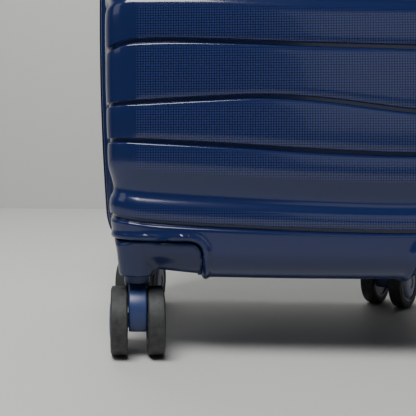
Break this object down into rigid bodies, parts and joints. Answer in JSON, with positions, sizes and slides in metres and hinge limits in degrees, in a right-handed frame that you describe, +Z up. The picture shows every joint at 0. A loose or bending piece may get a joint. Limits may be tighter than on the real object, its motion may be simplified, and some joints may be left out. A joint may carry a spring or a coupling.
{
  "type": "hard shell spinner suitcase",
  "caption": "Upright hard shell cabin suitcase: two moulded shells joined by a zip, telescopic trolley handle, carry handles, combination lock and twin-wheel swivel casters.",
  "frame": {"origin": "on the floor under the middle of the closed case", "axes": "+Z up, -Y out of the lid's front face, +X towards the side with the lock and side handle"},
  "size_m": [0.3498, 0.2411, 0.5498],
  "materials": {
    "shell": "glossy moulded navy polypropylene",
    "housing": "satin moulded navy",
    "zip": "black woven tape and nylon coil",
    "tyre": "matt dark grey",
    "hub": "satin moulded blue",
    "fork": "glossy moulded navy",
    "steel": "zinc plated",
    "tube": "satin anodised",
    "trim": "fine-grained moulded black",
    "grip": "soft-touch black",
    "button": "satin grey",
    "lock": "satin black",
    "dial": "black with pale digits",
    "chrome": "plated zinc",
    "lining": "dark grey polyester lining",
    "webbing": "black webbing"
  },
  "bodies": {
    "base": {"rear_shell": "shell", "rear_zip_tape": "zip", "rear_housing_left": "housing", "rear_housing_right": "housing", "rear_housing_screws": "steel", "rear_kingpins": "steel", "trolley_outer_tubes": "tube", "trolley_bezel": "trim", "trolley_foot": "trim", "handle_seats": "trim", "lock_case": "lock", "rear_lining": "lining", "tube_cover": "lining", "hinge_tape": "webbing", "packing_straps": "webbing", "strap_buckle": "trim"},
    "lid": {"front_shell": "shell", "front_zip_tape": "zip", "front_housing_left": "housing", "front_housing_right": "housing", "front_housing_screws": "steel", "front_kingpins": "steel", "front_lining": "lining"},
    "trolley_middle": {"trolley_middle_tubes": "tube"},
    "trolley_top": {"trolley_inner_tubes": "tube", "trolley_grip": "grip"},
    "grip_button": {"trolley_button": "button"},
    "top_handle": {"top_handle": "grip"},
    "side_handle": {"side_handle": "grip"},
    "dial_1": {"lock_dial_1": "dial"},
    "dial_2": {"lock_dial_2": "dial"},
    "dial_3": {"lock_dial_3": "dial"},
    "key_plug": {"lock_key_plug": "chrome"},
    "release": {"lock_release": "chrome"},
    "slider_upper": {"zip_slider_upper": "chrome"},
    "slider_lower": {"zip_slider_lower": "chrome"},
    "caster_front_left": {"fork_front_left": "fork", "axle_front_left": "steel"},
    "wheel_front_left_outer": {"tyre_front_left_outer": "tyre", "hub_front_left_outer": "hub"},
    "wheel_front_left_inner": {"tyre_front_left_inner": "tyre", "hub_front_left_inner": "hub"},
    "caster_front_right": {"fork_front_right": "fork", "axle_front_right": "steel"},
    "wheel_front_right_outer": {"tyre_front_right_outer": "tyre", "hub_front_right_outer": "hub"},
    "wheel_front_right_inner": {"tyre_front_right_inner": "tyre", "hub_front_right_inner": "hub"},
    "caster_rear_left": {"fork_rear_left": "fork", "axle_rear_left": "steel"},
    "wheel_rear_left_outer": {"tyre_rear_left_outer": "tyre", "hub_rear_left_outer": "hub"},
    "wheel_rear_left_inner": {"tyre_rear_left_inner": "tyre", "hub_rear_left_inner": "hub"},
    "caster_rear_right": {"fork_rear_right": "fork", "axle_rear_right": "steel"},
    "wheel_rear_right_outer": {"tyre_rear_right_outer": "tyre", "hub_rear_right_outer": "hub"},
    "wheel_rear_right_inner": {"tyre_rear_right_inner": "tyre", "hub_rear_right_inner": "hub"}
  },
  "joints": [
    {"name": "lid_hinge", "type": "hinge", "parent": "base", "child": "lid", "pos_m": [-0.1754, 0, 0.299], "axis": [0, 0, -1], "range_deg": [0, 180]},
    {"name": "handle_stage_1", "type": "slide", "parent": "base", "child": "trolley_middle", "axis": [0, 0, 1], "range_m": [0, 0.22]},
    {"name": "handle_stage_2", "type": "slide", "parent": "trolley_middle", "child": "trolley_top", "axis": [0, 0, 1], "range_m": [0, 0.22]},
    {"name": "grip_button_press", "type": "slide", "parent": "trolley_top", "child": "grip_button", "axis": [0, 0, -1], "range_m": [0, 0.004], "stiffness_N_per_m": 400, "springref_m": -0.002},
    {"name": "top_handle_lift", "type": "hinge", "parent": "base", "child": "top_handle", "pos_m": [0, 0.028, 0.5458], "axis": [1, 0, 0], "range_deg": [0, 95]},
    {"name": "side_handle_lift", "type": "hinge", "parent": "base", "child": "side_handle", "pos_m": [0.1714, 0.028, 0.299], "axis": [0, 0, -1], "range_deg": [0, 95]},
    {"name": "dial_1_turn", "type": "hinge", "parent": "base", "child": "dial_1", "pos_m": [0.1675, 0.023, 0.4245], "axis": [0, 0, 1], "continuous": true},
    {"name": "dial_2_turn", "type": "hinge", "parent": "base", "child": "dial_2", "pos_m": [0.1675, 0.023, 0.432], "axis": [0, 0, 1], "continuous": true},
    {"name": "dial_3_turn", "type": "hinge", "parent": "base", "child": "dial_3", "pos_m": [0.1675, 0.023, 0.4395], "axis": [0, 0, 1], "continuous": true},
    {"name": "key_turn", "type": "hinge", "parent": "base", "child": "key_plug", "pos_m": [0.1726, 0.023, 0.4165], "axis": [1, 0, 0], "range_deg": [0, 90]},
    {"name": "release_slide", "type": "slide", "parent": "base", "child": "release", "axis": [0, 0, -1], "range_m": [0, 0.005], "stiffness_N_per_m": 200, "springref_m": -0.002},
    {"name": "slider_upper_run", "type": "slide", "parent": "base", "child": "slider_upper", "axis": [-0.0428, 0, 0.9991], "range_m": [0, 0.06]},
    {"name": "slider_lower_run", "type": "slide", "parent": "base", "child": "slider_lower", "axis": [0, 0, 1], "range_m": [-0.154, 0]},
    {"name": "swivel_front_left", "type": "hinge", "parent": "lid", "child": "caster_front_left", "pos_m": [-0.133, -0.08, 0.055], "axis": [0, 0, 1], "continuous": true},
    {"name": "spin_front_left_outer", "type": "hinge", "parent": "caster_front_left", "child": "wheel_front_left_outer", "pos_m": [-0.14777, -0.09106, 0.0275], "axis": [0.9976, 0.0698, 0], "continuous": true},
    {"name": "spin_front_left_inner", "type": "hinge", "parent": "caster_front_left", "child": "wheel_front_left_inner", "pos_m": [-0.11684, -0.08889, 0.0275], "axis": [0.9976, 0.0698, 0], "continuous": true},
    {"name": "swivel_front_right", "type": "hinge", "parent": "lid", "child": "caster_front_right", "pos_m": [0.133, -0.08, 0.055], "axis": [0, 0, 1], "continuous": true},
    {"name": "spin_front_right_outer", "type": "hinge", "parent": "caster_front_right", "child": "wheel_front_right_outer", "pos_m": [0.14717, -0.09181, 0.0275], "axis": [0.9925, -0.1219, 0], "continuous": true},
    {"name": "spin_front_right_inner", "type": "hinge", "parent": "caster_front_right", "child": "wheel_front_right_inner", "pos_m": [0.1164, -0.08804, 0.0275], "axis": [0.9925, -0.1219, 0], "continuous": true},
    {"name": "swivel_rear_left", "type": "hinge", "parent": "base", "child": "caster_rear_left", "pos_m": [-0.133, 0.08, 0.055], "axis": [0, 0, 1], "continuous": true},
    {"name": "spin_rear_left_outer", "type": "hinge", "parent": "caster_rear_left", "child": "wheel_rear_left_outer", "pos_m": [-0.15056, 0.07435, 0.0275], "axis": [0.9659, -0.2588, 0], "continuous": true},
    {"name": "spin_rear_left_inner", "type": "hinge", "parent": "caster_rear_left", "child": "wheel_rear_left_inner", "pos_m": [-0.12062, 0.06633, 0.0275], "axis": [0.9659, -0.2588, 0], "continuous": true},
    {"name": "swivel_rear_right", "type": "hinge", "parent": "base", "child": "caster_rear_right", "pos_m": [0.133, 0.08, 0.055], "axis": [0, 0, 1], "continuous": true},
    {"name": "spin_rear_right_outer", "type": "hinge", "parent": "caster_rear_right", "child": "wheel_rear_right_outer", "pos_m": [0.12817, 0.0978, 0.0275], "axis": [-0.7431, 0.6691, 0], "continuous": true},
    {"name": "spin_rear_right_inner", "type": "hinge", "parent": "caster_rear_right", "child": "wheel_rear_right_inner", "pos_m": [0.15121, 0.07706, 0.0275], "axis": [-0.7431, 0.6691, 0], "continuous": true}
  ]
}
